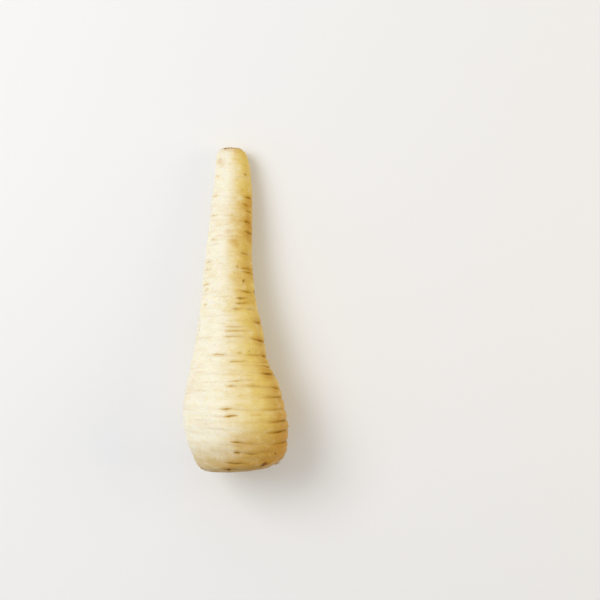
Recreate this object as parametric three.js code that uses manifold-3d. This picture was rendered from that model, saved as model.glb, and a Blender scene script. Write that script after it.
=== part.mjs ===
// A parsnip lying on its side, in millimetres, +Z up.
// The crown points to -Y, the cut tip to +Y, and the root rests on its belly and on its tail.
// The origin is on the surface, under the middle of the root's box.
import * as THREE from 'three';
import { mergeVertices } from 'three/addons/utils/BufferGeometryUtils.js';
import Module from 'manifold-3d';

const wasm = await Module();
wasm.setup();

// Driving dimensions
const LENGTH = 161.3;         // crown rim to cut tip, along the root's own axis
const HALF_WIDTH = 25.7;      // the root's radius at its widest
const FLATTEN = 0.975;        // height of a section against its width
const BELLY_AT = 22;          // where the belly rests, along the axis from the crown rim
const TAIL_AT = 148;          // where the tail rests
const BELLY_FLAT = 0.6;       // how deep the belly is pressed flat
const TAIL_FLAT = 0.3;        // how deep the tail is pressed flat
const SEED = 41;

// How finely the root is faceted
const RINGS = 150;
const SEGMENTS = 38;

// The root's outline: place along the axis as a share of LENGTH, radius as a share of HALF_WIDTH.
// It starts at the middle of the crown dish, goes over the rim and ends at the middle of the cut tip.
const OUTLINE = [
  [0.030, 0], [0.030, 0.18], [0.0285, 0.30], [0.018, 0.39], [0.004, 0.435], [0, 0.48],
  [0.001, 0.56], [0.006, 0.67], [0.020, 0.788], [0.036, 0.850], [0.053, 0.889], [0.077, 0.934],
  [0.106, 0.965], [0.139, 1], [0.170, 0.993], [0.201, 0.973], [0.229, 0.938], [0.262, 0.895],
  [0.284, 0.852], [0.309, 0.790], [0.333, 0.742], [0.361, 0.701], [0.398, 0.667], [0.435, 0.629],
  [0.481, 0.576], [0.530, 0.525], [0.583, 0.493], [0.641, 0.458], [0.699, 0.431], [0.780, 0.404],
  [0.863, 0.373], [0.911, 0.345], [0.961, 0.311], [0.980, 0.280], [0.992, 0.225], [0.998, 0.15],
  [0.999, 0.07], [0.998, 0],
];
const RIM = 5;                // the outline's point on the rim's crest

// How far the axis strays sideways: share of LENGTH, share of HALF_WIDTH
const STRAY = [
  [0, 0.09], [0.02, 0.135], [0.055, 0.14], [0.09, 0.103], [0.14, 0.066], [0.20, 0.022],
  [0.27, 0], [0.33, -0.052], [0.37, -0.055], [0.42, -0.045], [0.53, -0.074], [0.64, -0.078],
  [0.75, -0.043], [0.87, -0.013], [0.92, -0.007], [1, -0.045],
];

// The crown's face leans: its right side and its underside sit nearer to the tip
const LEAN_REACH = 16;        // how far along the axis the lean fades out
const LEAN_SIDE = 0.055;
const LEAN_DOWN = -0.1285;
const LEAN_SHIFT = 1.7;

// Growth rings: on the bulb they bow towards the tip at the flanks
const RING_BOW = 3;
const BOW_FROM = 25;
const BOW_TO = 48;

// Creases between the growth rings, along the axis, from before the rim to past the cut. The skin
// bulges between each two of them, most on the right flank and on the bulb.
const CREASES = [
  -6.5, 0.5, 4.5, 8.5, 12.4, 18, 22.8, 28.7, 35.2, 40, 47.5, 50.9, 56.2, 63.7, 72.8, 79, 87.7, 98,
  106.5, 117.4, 122.5, 131, 135.1, 146.6, 156, 165,
];
const BULGE_ON_BULB = 0.7;    // how high a bulge is, up to BULB_TO along the axis
const BULGE_ON_NECK = 0.18;   // and from NECK_FROM
const BULB_TO = 35;
const NECK_FROM = 100;
const FULL_GAP = 6;           // bulges between closer creases are lower
const BULGE_SUNK = 0.62;      // the share of a bulge that lies inside the outline
const BULGE_POWER = 0.7;      // under 1 the creases are sharp
const BULGE_ELSEWHERE = 0.2;  // the share of a bulge's height away from the right flank

// Scars where side roots grew: place along, turn from the top in degrees, half length in degrees,
// depth, and slant over the half length
const SCARS = [
  [146.6, 47, 9, 0.4, -0.1], [145.9, -62, 23, 0.2, -0.3], [138.5, 34, 9, 0.15, 0.2],
  [143.6, 16, 10, 0.1, 0.1], [135.1, 67, 29, 0.65, 0], [135.8, -61, 29, 0.25, 0.3],
  [131.1, 46, 15, 0.55, -0.6], [128.1, 69, 23, 0.5, 0], [126, -61, 31, 0.25, -0.1],
  [122.9, 30, 10, 0.2, 0.1], [122.5, 60, 20, 0.7, -0.6], [117.4, 67, 26, 0.75, -0.6],
  [113.7, -46, 16, 0.25, 0.2], [106.5, 48, 18, 0.5, -0.3], [107.8, -57, 8, 0.2, -0.2],
  [102.7, -59, 25, 0.3, 0.1], [98.7, -58, 24, 0.25, 0.3], [99.7, 24, 6, 0.4, -0.2],
  [99.1, 60, 31, 0.6, -0.1], [97.2, 60, 31, 0.5, -0.6], [91.4, -59, 22, 0.35, 0],
  [88.7, -54, 11, 0.35, 0.3], [87.7, 42, 24, 0.55, -0.4], [84.2, 34, 19, 0.55, 0.2],
  [81.4, -54, 10, 0.35, 0.2], [81.6, 32, 21, 0.55, 0.3], [78.7, 18, 14, 0.45, 0.1],
  [78.8, 44, 12, 0.3, 0.1], [72.8, 72, 24, 0.6, 0.1], [69.8, 16, 26, 0.4, 0.2],
  [67.7, 18, 27, 0.45, 0.2], [64.9, 11, 22, 0.4, 0], [63.7, 69, 37, 0.75, -0.7],
  [56.1, -12, 15, 0.45, -0.1], [56.9, 18, 6, 0.3, 0.1], [56.1, 42, 20, 0.3, 0.3],
  [56.2, 80, 22, 0.7, -0.4], [52.7, 16, 16, 0.45, 0.3], [53.1, 68, 38, 0.35, 0.5],
  [50.9, 75, 23, 0.55, -0.5], [49.4, 69, 24, 0.35, 0.1], [47.5, 70, 28, 0.8, 0.5],
  [48.2, 10, 32, 0.15, 0.2], [43.3, 14, 18, 0.35, 0.6], [40.5, 1, 8, 0.45, -0.1],
  [40.6, 28, 22, 0.25, -0.1], [40, 73, 21, 0.65, -0.7], [35.2, 65, 27, 0.5, 0.1],
  [29.4, -6, 6, 0.55, 0.1], [29.1, 10, 12, 0.2, -0.2], [28.7, 59, 38, 0.25, -0.2],
  [31.1, 66, 30, 0.2, -0.7], [25.8, -18, 9, 0.25, -0.1], [26.1, -2, 10, 0.6, 0.4],
  [26.4, 26, 12, 0.15, 0], [22.8, 66, 29, 0.6, 0.4], [18, 64, 30, 0.65, 0.6],
  [13.7, 4, 10, 0.45, -0.5], [13.1, 18, 6, 0.2, -0.2], [12.4, 68, 30, 0.45, 0.6],
  [9.3, 0, 5, 0.6, -0.1], [8.6, 15, 11, 0.35, -0.7], [4.5, 0, 18, 0.4, -0.7],
  [1.9, -8, 18, 0.35, 0],
];
const SCAR_WIDTH = 0.8;
const SCAR_DEEPER = 1.25;      // the solid's scars are cut a little deeper, as its facets blunt them
const HIDDEN_SCARS = 64;      // more of them on the flanks and the underside, drawn by the seed

// The knot of a lost side root, a round boss with a pit
const KNOT = { at: 92.7, turn: 39, radius: 1.5, height: 0.35 };

// The corky stub in the crown dish, with the cut bases of the leaf stalks
const STUB_GAP = 0.3;         // clear of the dish
const PLATE_RADIUS = 7.4;
const PLATE_THICK = 1.5;
const STALK_RINGS = [
  { count: 6, radius: 6.6, spread: 25, thick: 2.1, height: 2.9, lean: 0.22 },
  { count: 4, radius: 3.9, spread: 36, thick: 1.7, height: 2.3, lean: 0.12 },
];
const BUD_RADIUS = 1.9;
const BUD_HEIGHT = 2.2;

// Small helpers
const radians = THREE.MathUtils.degToRad;
const bell = (t) => Math.exp(-t * t);
const smooth = (t) => THREE.MathUtils.smoothstep(t, 0, 1);
const wrap = (angle) => Math.atan2(Math.sin(angle), Math.cos(angle));

let drawn = SEED;
function draw(low, high) {
  drawn = (drawn * 1664525 + 1013904223) % 4294967296;
  return low + (high - low) * (drawn / 4294967296);
}

// A smooth curve through points [x, y], with slopes taken from the neighbours
function curveThrough(points) {
  const last = points.length - 1;
  const slopes = points.map((point, i) => {
    const before = points[Math.max(i - 1, 0)];
    const after = points[Math.min(i + 1, last)];
    return (after[1] - before[1]) / (after[0] - before[0]);
  });
  return (x) => {
    const clamped = THREE.MathUtils.clamp(x, points[0][0], points[last][0]);
    let i = 0;
    while (i < last - 1 && clamped >= points[i + 1][0]) i += 1;
    const h = points[i + 1][0] - points[i][0];
    const t = (clamped - points[i][0]) / h;
    return (2 * t ** 3 - 3 * t ** 2 + 1) * points[i][1] + (t ** 3 - 2 * t ** 2 + t) * h * slopes[i]
      + (3 * t ** 2 - 2 * t ** 3) * points[i + 1][1] + (t ** 3 - t ** 2) * h * slopes[i + 1];
  };
}

// The outline as two curves over its own running length
const running = [0];
for (let i = 1; i < OUTLINE.length; i += 1) {
  const step = Math.hypot(
    (OUTLINE[i][0] - OUTLINE[i - 1][0]) * LENGTH,
    (OUTLINE[i][1] - OUTLINE[i - 1][1]) * HALF_WIDTH,
  );
  running.push(running[i - 1] + step);
}
const outlineAlong = curveThrough(OUTLINE.map(([share], i) => [running[i], share * LENGTH]));
const outlineRadius = curveThrough(OUTLINE.map(([, share], i) => [running[i], share * HALF_WIDTH]));
const rimRun = running[RIM];
const endRun = running[running.length - 1];
const strayCurve = curveThrough(STRAY);
const stray = (along) => strayCurve(along / LENGTH) * HALF_WIDTH;

// The radius of the outer skin at a place along the axis
function skinRadius(along) {
  let low = rimRun;
  let high = endRun;
  for (let i = 0; i < 40; i += 1) {
    const middle = (low + high) / 2;
    if (outlineAlong(middle) < along) low = middle;
    else high = middle;
  }
  return outlineRadius(low);
}

// How the root lies: its axis falls towards the tip until belly and tail touch the surface
const bellyDrop = skinRadius(BELLY_AT) * FLATTEN;
const tailDrop = skinRadius(TAIL_AT) * FLATTEN;
const SLOPE = Math.atan2(bellyDrop - tailDrop - (BELLY_FLAT - TAIL_FLAT), TAIL_AT - BELLY_AT);
const LIFT = bellyDrop * Math.cos(SLOPE) - BELLY_FLAT + (BELLY_AT - LENGTH / 2) * Math.sin(SLOPE);
const CENTRE_X = 1.82;        // the middle of the root's box, against its axis
const CENTRE_Y = 0.62;

function lay(x, along, z) {
  const leaning = 1 - smooth(along / LEAN_REACH);
  const y = along + leaning * (LEAN_SIDE * x + LEAN_DOWN * z + LEAN_SHIFT) - LENGTH / 2;
  return new THREE.Vector3(
    x - CENTRE_X,
    y * Math.cos(SLOPE) + z * Math.sin(SLOPE) - CENTRE_Y,
    z * Math.cos(SLOPE) - y * Math.sin(SLOPE) + LIFT,
  );
}

// All scars: those set by hand, then those drawn for the sides that lie low
const scars = SCARS.map(([at, turn, half, depth, slant]) => (
  { at, turn: radians(turn), half: radians(half), depth, slant }
));
for (let i = 0; i < HIDDEN_SCARS; i += 1) {
  const at = draw(4, LENGTH - 10);
  const turn = radians(draw(100, 262));
  const half = radians(draw(9, 30));
  const depth = draw(0.2, 0.65);
  const slant = draw(-0.5, 0.5);
  scars.push({ at, turn, half, depth, slant });
}

// Where a growth ring through this point meets the top of the root
function ringAt(along, turn) {
  const bow = RING_BOW * (1 - smooth((along - BOW_FROM) / (BOW_TO - BOW_FROM)));
  return along - bow * (1 - Math.cos(turn));
}

// The skin is calm where the belly and the tail rest, at the rim and at the cut
function calm(along, turn) {
  const under = wrap(turn - Math.PI);
  const belly = Math.exp(-((under / 0.55) ** 4) - ((along - BELLY_AT) / 17) ** 4);
  const tail = Math.exp(-((under / 0.7) ** 4) - ((along - TAIL_AT) / 12) ** 4);
  const ends = smooth(along / 3) * smooth((LENGTH - along) / 5);
  return (1 - belly) * (1 - tail) * ends;
}

// How far the skin bulges between the two creases on either side
function bulge(ring, turn) {
  const next = CREASES.findIndex((at) => at > ring);
  const gap = CREASES[next] - CREASES[next - 1];
  const arch = Math.sin(Math.PI * (ring - CREASES[next - 1]) / gap) ** BULGE_POWER - BULGE_SUNK;
  const neck = smooth((ring - BULB_TO) / (NECK_FROM - BULB_TO));
  const height = THREE.MathUtils.lerp(BULGE_ON_BULB, BULGE_ON_NECK, neck) * Math.min(1, gap / FULL_GAP);
  const flank = THREE.MathUtils.lerp(BULGE_ELSEWHERE, 1, smooth((Math.sin(turn) + 0.2) / 1.2));
  return height * flank * arch;
}

// How far the skin stands out of the plain outline
function relief(along, turn) {
  const ring = ringAt(along, turn);
  let lift = bulge(ring, turn);
  for (const scar of scars) {
    const across = wrap(turn - scar.turn) / scar.half;
    if (Math.abs(across) < 1) {
      const off = Math.abs(ring - scar.at - scar.slant * across);
      const lips = 0.45 * bell((off - 2 * SCAR_WIDTH) / SCAR_WIDTH);
      lift += SCAR_DEEPER * scar.depth * (1 - across * across) * (lips - bell(off / SCAR_WIDTH));
    }
  }
  const knotAway = Math.hypot(along - KNOT.at, wrap(turn - radians(KNOT.turn)) * skinRadius(along));
  lift += KNOT.height * (bell((knotAway - KNOT.radius) / 0.6) - bell(knotAway / 0.7));
  return lift * calm(along, turn);
}

// Sections are a little out of round, and more so towards the bulb
function outOfRound(along, turn) {
  return 1 + 0.012 * Math.cos(2 * (turn - 0.6) + along / 40)
    + 0.008 * Math.cos(3 * turn + along / 23) + 0.004 * Math.cos(5 * turn - along / 17);
}

// Solids from rings of points between two end points
function closedLoft(rings, firstPole, lastPole) {
  const points = [firstPole];
  rings.forEach((ring) => points.push(...ring));
  points.push(lastPole);
  const count = rings[0].length;
  const triangles = [];
  const at = (ring, i) => 1 + ring * count + (i % count);
  for (let i = 0; i < count; i += 1) {
    triangles.push(0, at(0, i + 1), at(0, i));
    triangles.push(points.length - 1, at(rings.length - 1, i), at(rings.length - 1, i + 1));
    for (let ring = 0; ring < rings.length - 1; ring += 1) {
      triangles.push(at(ring, i), at(ring + 1, i + 1), at(ring + 1, i));
      triangles.push(at(ring, i), at(ring, i + 1), at(ring + 1, i + 1));
    }
  }
  return solid(points.flatMap((point) => point.toArray()), triangles);
}

function solid(vertices, triangles) {
  return new wasm.Manifold(new wasm.Mesh({
    numProp: 3,
    vertProperties: new Float32Array(vertices),
    triVerts: new Uint32Array(triangles),
  }));
}

function solidOf(geometry) {
  geometry.deleteAttribute('normal');
  geometry.deleteAttribute('uv');
  const merged = mergeVertices(geometry, 1e-4);
  return solid(merged.attributes.position.array, merged.index.array);
}

function geometryOf(manifold) {
  const mesh = manifold.getMesh();
  const geometry = new THREE.BufferGeometry();
  geometry.setAttribute('position', new THREE.BufferAttribute(mesh.vertProperties, 3));
  geometry.setIndex(new THREE.BufferAttribute(mesh.triVerts, 1));
  geometry.computeVertexNormals();
  return geometry;
}

// The root: the outline turned round the axis with its relief, cut flat where it rests
function rootSolid() {
  const rings = [];
  for (let i = 1; i < RINGS; i += 1) {
    const run = endRun * (i / RINGS);
    const along = outlineAlong(run);
    const radius = outlineRadius(run);
    const outside = run > rimRun;
    const middle = outside ? stray(along) : stray(0);
    const ring = [];
    for (let j = 0; j < SEGMENTS; j += 1) {
      const turn = 2 * Math.PI * (j / SEGMENTS);
      const reach = radius * outOfRound(along, turn) + (outside ? relief(along, turn) : 0);
      ring.push(lay(middle + reach * Math.sin(turn), along, reach * Math.cos(turn) * FLATTEN));
    }
    rings.push(ring);
  }
  const first = lay(stray(0), outlineAlong(0), 0);
  const last = lay(stray(outlineAlong(endRun)), outlineAlong(endRun), 0);
  const ground = new THREE.BoxGeometry(4 * HALF_WIDTH, 2 * LENGTH, HALF_WIDTH);
  ground.translate(0, 0, -HALF_WIDTH / 2);
  return closedLoft(rings, first, last).subtract(solidOf(ground));
}

// One cut stalk base: a crescent that follows its ring round the crown and leans outwards
function stalkBase(floor, middle, radius, spread, thick, height, lean) {
  const levels = [-0.7, 0.35 * height, 0.75 * height, height];
  const sides = 8;
  const tilt = draw(-0.5, 0.5);
  const rings = levels.map((level, index) => {
    const top = index === levels.length - 1;
    const narrow = 1 - 0.16 * (level / height);
    const out = radius + Math.max(level, 0) * lean;
    const ring = [];
    for (let j = 0; j < 2 * sides; j += 1) {
      const share = 1 - 2 * (j % sides + 0.5) / sides;
      const inner = j >= sides;
      const away = (inner ? -share : share) * spread * narrow;
      const half = 0.5 * thick * narrow * Math.sqrt(1 - 0.9 * share * share);
      const reach = out + (inner ? -half : half);
      const cut = top ? tilt * (away / spread) + draw(-0.3, 0.3) : 0;
      ring.push(lay(
        stray(0) + reach * Math.sin(middle + away),
        floor - level - cut,
        reach * Math.cos(middle + away),
      ));
    }
    return ring;
  });
  const out = radius + height * lean;
  const foot = lay(stray(0) + radius * Math.sin(middle), floor - levels[0], radius * Math.cos(middle));
  const tip = lay(stray(0) + out * Math.sin(middle), floor - height + 0.35, out * Math.cos(middle));
  return closedLoft(rings, foot, tip);
}

// The plate and the bud, turned round the axis; run counts outwards from the dish floor
function crownPlate(bottom) {
  const top = bottom - PLATE_THICK;
  const profile = [
    [0, bottom], [0.82 * PLATE_RADIUS, bottom], [PLATE_RADIUS, bottom - 0.5 * PLATE_THICK],
    [0.93 * PLATE_RADIUS, top + 0.1], [0.8 * PLATE_RADIUS, top], [BUD_RADIUS, top],
    [0.8 * BUD_RADIUS, top - 0.6 * BUD_HEIGHT], [0.35 * BUD_RADIUS, top - BUD_HEIGHT],
  ];
  const sides = 24;
  const rings = profile.slice(1).map(([radius, along]) => {
    const ring = [];
    for (let j = 0; j < sides; j += 1) {
      const turn = 2 * Math.PI * (j / sides);
      ring.push(lay(stray(0) + radius * Math.sin(turn), along, radius * Math.cos(turn)));
    }
    return ring;
  });
  const last = profile[profile.length - 1];
  return closedLoft(
    rings.reverse(),
    lay(stray(0), last[1] - 0.25, 0),
    lay(stray(0), bottom, 0),
  );
}

function stubSolid() {
  const bottom = outlineAlong(0) - STUB_GAP - 0.15;
  const floor = bottom - PLATE_THICK;
  let whole = crownPlate(bottom);
  for (const { count, radius, spread, thick, height, lean } of STALK_RINGS) {
    for (let i = 0; i < count; i += 1) {
      const middle = 2 * Math.PI * ((i + draw(-0.12, 0.12)) / count);
      whole = whole.add(stalkBase(
        floor,
        middle,
        radius + draw(-0.25, 0.25),
        radians(spread * draw(0.85, 1.1)),
        thick * draw(0.85, 1.1),
        height * draw(0.7, 1.1),
        lean,
      ));
    }
  }
  return whole;
}

// The part
const skin = new THREE.MeshStandardMaterial({ color: 0xe6cf96, roughness: 0.55, metalness: 0 });
const cork = new THREE.MeshStandardMaterial({ color: 0x8a6a3c, roughness: 0.85, metalness: 0 });

const root = new THREE.Mesh(geometryOf(rootSolid()), skin);
root.name = 'parsnip_root';

const stub = new THREE.Mesh(geometryOf(stubSolid()), cork);
stub.name = 'leaf_stalk_stubs';

const parsnip = new THREE.Group();
parsnip.add(root, stub);
export default parsnip;
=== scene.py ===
import math

import bpy
import numpy as np
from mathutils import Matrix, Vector


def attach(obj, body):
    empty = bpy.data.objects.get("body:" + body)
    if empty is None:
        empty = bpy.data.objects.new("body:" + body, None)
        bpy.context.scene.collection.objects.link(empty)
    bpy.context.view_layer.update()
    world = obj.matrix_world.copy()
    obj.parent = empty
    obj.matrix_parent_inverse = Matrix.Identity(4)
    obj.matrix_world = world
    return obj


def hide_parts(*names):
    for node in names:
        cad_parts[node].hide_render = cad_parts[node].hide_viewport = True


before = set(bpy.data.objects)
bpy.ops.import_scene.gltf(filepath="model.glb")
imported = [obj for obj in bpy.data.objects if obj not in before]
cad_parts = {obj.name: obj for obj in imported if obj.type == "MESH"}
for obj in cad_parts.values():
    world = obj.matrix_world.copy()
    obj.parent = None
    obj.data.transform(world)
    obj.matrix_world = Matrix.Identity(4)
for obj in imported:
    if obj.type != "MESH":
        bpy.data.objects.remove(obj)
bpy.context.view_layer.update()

# A parsnip lying on its side. Lengths are in millimetres until a mesh is made.
MM = 0.001

# Driving dimensions, the same as the solid's
LENGTH = 161.3
HALF_WIDTH = 25.7
FLATTEN = 0.975
BELLY_AT, BELLY_FLAT = 22, 0.6
TAIL_AT, TAIL_FLAT = 148, 0.3
CENTRE_X, CENTRE_Y = 1.82, 0.62
SEED = 41

# How finely the root's skin is drawn. Its points crowd towards the top, by CROWDING.
RINGS = 820
SEGMENTS = 120
CROWDING = 0.42

# Outline: share of LENGTH along the axis, share of HALF_WIDTH away from it
OUTLINE = [
    (0.030, 0), (0.030, 0.18), (0.0285, 0.30), (0.018, 0.39), (0.004, 0.435), (0, 0.48),
    (0.001, 0.56), (0.006, 0.67), (0.020, 0.788), (0.036, 0.850), (0.053, 0.889), (0.077, 0.934),
    (0.106, 0.965), (0.139, 1), (0.170, 0.993), (0.201, 0.973), (0.229, 0.938), (0.262, 0.895),
    (0.284, 0.852), (0.309, 0.790), (0.333, 0.742), (0.361, 0.701), (0.398, 0.667), (0.435, 0.629),
    (0.481, 0.576), (0.530, 0.525), (0.583, 0.493), (0.641, 0.458), (0.699, 0.431), (0.780, 0.404),
    (0.863, 0.373), (0.911, 0.345), (0.961, 0.311), (0.980, 0.280), (0.992, 0.225), (0.998, 0.15),
    (0.999, 0.07), (0.998, 0),
]
RIM = 5                  # the outline's point on the rim's crest
STRAY = [
    (0, 0.09), (0.02, 0.135), (0.055, 0.14), (0.09, 0.103), (0.14, 0.066), (0.20, 0.022),
    (0.27, 0), (0.33, -0.052), (0.37, -0.055), (0.42, -0.045), (0.53, -0.074), (0.64, -0.078),
    (0.75, -0.043), (0.87, -0.013), (0.92, -0.007), (1, -0.045),
]
LEAN_REACH, LEAN_SIDE, LEAN_DOWN, LEAN_SHIFT = 16, 0.055, -0.1285, 1.7
RING_BOW, BOW_FROM, BOW_TO = 3, 25, 48

# Creases between the growth rings, and how the skin bulges between them
CREASES = np.array([
    -6.5, 0.5, 4.5, 8.5, 12.4, 18, 22.8, 28.7, 35.2, 40, 47.5, 50.9, 56.2, 63.7, 72.8, 79, 87.7, 98,
    106.5, 117.4, 122.5, 131, 135.1, 146.6, 156, 165,
])
BULGE_ON_BULB, BULGE_ON_NECK = 0.7, 0.18
BULB_TO, NECK_FROM = 35, 100
FULL_GAP = 6
BULGE_SUNK, BULGE_POWER, BULGE_ELSEWHERE = 0.62, 0.7, 0.12
FLANK_FROM, FLANK_OVER = 0.15, 0.85      # sine of the turn where the right flank starts, and its span
CREASE_SHADE = 0.8                       # how far the shade painted in a crease reaches

# Out of round: height, how many bumps round the root, turn of the first, length of its twist
OUT_OF_ROUND = [(0.012, 2, 0.6, 40), (0.008, 3, 0, 23), (0.004, 5, 0, -17)]

# Where the relief calms down: half a turn in radians and half a length, then the two ends' lengths
BELLY_CALM, TAIL_CALM = (0.55, 17), (0.7, 12)
RIM_CALM, CUT_CALM = 3, 5

# Scars of side roots: place along, turn from the top and half length in degrees, depth, slant,
# how dark, and where it is darkest, from -1 at its left end to 1 at its right end
SCARS = [
    (146.6, 47, 9, 0.4, -0.1, 0.8, 0.3), (145.9, -62, 23, 0.2, -0.3, 0.4, 0.5),
    (138.5, 34, 9, 0.15, 0.2, 0.3, 0), (143.6, 16, 10, 0.1, 0.1, 0.25, 0),
    (135.1, 67, 29, 0.65, 0, 1, -0.1), (135.8, -61, 29, 0.25, 0.3, 0.45, 0.3),
    (131.1, 46, 15, 0.55, -0.6, 0.8, 0.4), (128.1, 69, 23, 0.5, 0, 0.85, -0.3),
    (126, -61, 31, 0.25, -0.1, 0.45, 0.4), (122.9, 30, 10, 0.2, 0.1, 0.35, 0.5),
    (122.5, 60, 20, 0.7, -0.6, 1, -0.4), (117.4, 67, 26, 0.75, -0.6, 1, -0.2),
    (113.7, -46, 16, 0.25, 0.2, 0.4, 0), (106.5, 48, 18, 0.5, -0.3, 0.75, -0.6),
    (107.8, -57, 8, 0.2, -0.2, 0.3, 0), (102.7, -59, 25, 0.3, 0.1, 0.45, 0.4),
    (98.7, -58, 24, 0.25, 0.3, 0.4, 0.5), (99.7, 24, 6, 0.4, -0.2, 0.65, 0),
    (99.1, 60, 31, 0.6, -0.1, 0.85, -0.6), (97.2, 60, 31, 0.5, -0.6, 0.8, -0.3),
    (91.4, -59, 22, 0.35, 0, 0.5, 0.2), (88.7, -54, 11, 0.35, 0.3, 0.5, 0.4),
    (87.7, 42, 24, 0.55, -0.4, 0.75, 0.2), (84.2, 34, 19, 0.55, 0.2, 0.75, -0.4),
    (81.4, -54, 10, 0.35, 0.2, 0.5, 0.3), (81.6, 32, 21, 0.55, 0.3, 0.75, -0.4),
    (78.7, 18, 14, 0.45, 0.1, 0.6, -0.2), (78.8, 44, 12, 0.3, 0.1, 0.45, 0.2),
    (72.8, 72, 24, 0.6, 0.1, 0.95, -0.1), (69.8, 16, 26, 0.4, 0.2, 0.5, -0.5),
    (67.7, 18, 27, 0.45, 0.2, 0.6, -0.7), (64.9, 11, 22, 0.4, 0, 0.5, -0.4),
    (63.7, 69, 37, 0.75, -0.7, 1, 0.1), (56.1, -12, 15, 0.35, -0.1, 0.6, -0.1),
    (56.9, 18, 6, 0.3, 0.1, 0.5, 0), (56.1, 42, 20, 0.3, 0.3, 0.5, 0.4),
    (56.2, 80, 22, 0.7, -0.4, 1, -0.2), (52.7, 16, 16, 0.45, 0.3, 0.7, -0.8),
    (53.1, 68, 38, 0.35, 0.5, 0.6, 0.1), (50.9, 75, 23, 0.55, -0.5, 0.85, 0),
    (49.4, 69, 24, 0.35, 0.1, 0.6, 0), (47.5, 70, 28, 0.8, 0.5, 1, -0.3),
    (48.2, 10, 32, 0.15, 0.2, 0.15, 0), (43.3, 14, 18, 0.35, 0.6, 0.55, -0.6),
    (40.5, 1, 8, 0.45, -0.1, 0.6, 0), (40.6, 28, 22, 0.25, -0.1, 0.4, 0),
    (40, 73, 21, 0.65, -0.7, 0.95, -0.1), (35.2, 65, 27, 0.5, 0.1, 0.8, 0.4),
    (29.5, -6, 9, 0.45, 0.1, 0.85, 0.1), (29.1, 10, 12, 0.2, -0.2, 0.4, -0.4),
    (28.7, 59, 38, 0.25, -0.2, 0.35, 0.2), (31.1, 66, 30, 0.2, -0.7, 0.3, 0.3),
    (25.8, -18, 9, 0.25, -0.1, 0.35, 0.5), (26.1, -2, 10, 0.6, 0.4, 1, 0),
    (26.4, 26, 12, 0.15, 0, 0.3, 0.2), (22.8, 66, 29, 0.6, 0.4, 0.9, 0.2),
    (18, 64, 30, 0.65, 0.6, 0.95, 0), (13.7, 4, 10, 0.45, -0.5, 1, -0.4),
    (13.1, 18, 6, 0.2, -0.2, 0.4, 0), (12.4, 68, 30, 0.45, 0.6, 0.7, 0.2),
    (9.3, 0, 5, 0.6, -0.1, 1, 0), (8.6, 15, 11, 0.35, -0.7, 0.65, 0.2),
    (4.5, 0, 18, 0.4, -0.7, 0.75, -0.3), (1.9, -8, 18, 0.35, 0, 0.65, -0.3),
]
HIDDEN_SCARS = 64
HIDDEN_TURNS, HIDDEN_HALVES, HIDDEN_DEPTHS, HIDDEN_SLANTS = (100, 262), (9, 30), (0.2, 0.65), (-0.5, 0.5)
SLIT_WANDER, SLIT_WIDTH, SLIT_OPENS = 0.08, 0.36, 0.1
BLOT_REACH, AWAY_FROM_BLOT = 0.6, 0.5    # the darkest place, and how dark the rest is beside it
LIP_HEIGHT, LIP_AT, LIP_WIDTH = 0.45, 1.25, 0.7
CUT_SHALLOW, CUT_DEEP = 0.7, 1.1
FINE_WRINKLES = 150
KNOT_AT, KNOT_TURN, KNOT_RADIUS, KNOT_HEIGHT = 92.7, 39, 1.5, 0.35

# Dark specks and ochre stains: place along, turn in degrees, radius, strength
SPECKS = [
    (154.2, -42, 0.6, 0.4), (152.9, -48, 0.6, 0.35), (154.3, 34, 0.6, 0.35), (92.9, 38, 0.8, 0.55),
    (91.2, 34, 0.7, 0.4), (88.4, 80, 1.3, 0.9), (69.2, -63, 0.7, 0.5), (66.9, -70, 0.7, 0.5),
    (57.9, 34, 0.5, 0.6), (82.8, -3, 0.6, 0.3), (47.2, 2, 0.6, 0.25), (34.3, -40, 0.6, 0.25),
    (38, -14, 0.5, 0.2), (7.2, 52, 0.7, 0.9), (11.4, -40, 0.7, 0.4), (10.3, -30, 0.7, 0.4),
    (6.1, -29, 0.7, 0.35), (8.4, -20, 0.7, 0.35), (1.6, -11, 1.2, 1), (2.4, 39, 1.7, 1),
    (2, 46, 1, 0.7), (122.6, 48, 0.7, 0.5), (84, 27, 0.7, 0.7), (160, -26, 0.9, 0.9),
    (160.2, -10, 0.8, 0.6), (160.3, 4, 0.8, 0.7), (160.1, 20, 0.8, 0.6), (160.3, 48, 0.7, 0.5),
]
STAINS = [
    (25.8, 66, 4.5, 0.9), (11, 65, 6, 1), (47.5, 58, 3.6, 1), (56.4, 68, 4, 0.6), (3, 46, 3.5, 0.7),
    (18, 66, 4, 0.7), (63.7, 64, 4, 0.6), (131, 66, 5.5, 0.9), (122.5, 66, 6, 1),
    (116.2, 66, 6, 0.9), (106, 60, 5, 0.6), (98.3, 56, 5, 0.7), (92.7, 39, 3.5, 0.5),
    (85, 50, 5, 0.5), (72.8, 64, 4, 0.6), (112.6, 16, 2, 0.5), (110.7, 22, 1.8, 0.5),
    (117.5, -5, 1.8, 0.4), (42.6, -53, 4, 0.2), (40, 66, 3, 0.9), (13, 12, 4, 0.5),
    (4, 5, 7, 0.5), (1.5, -10, 4, 0.7),
    (160, -20, 2.4, 0.7), (160, 12, 3, 0.6), (153.6, -44, 2, 0.4), (18, 74, 6, 0.8), (30, 74, 7, 0.7),
]
SPECK_PIT = 0.2
STAIN_STRETCH = 0.7                      # a stain is longer round the root than along it

# Tan at the crown with painted shade, from left to right, and real browning at the cut. Painted warm shade
# along the right edge of the bulb.
TAN_REACH, TAN_STRENGTH, TAN_FULL_TO = (18, 34), (0.8, 1), 2
CUT_TAN, CUT_TAN_REACH, CUT_TAN_OVER = 0.6, 2.5, 2
AMBER_FROM, AMBER_AT, AMBER_SPREAD, AMBER_STRENGTH = 0.55, 22, 26, (0.25, 0.8)

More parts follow.
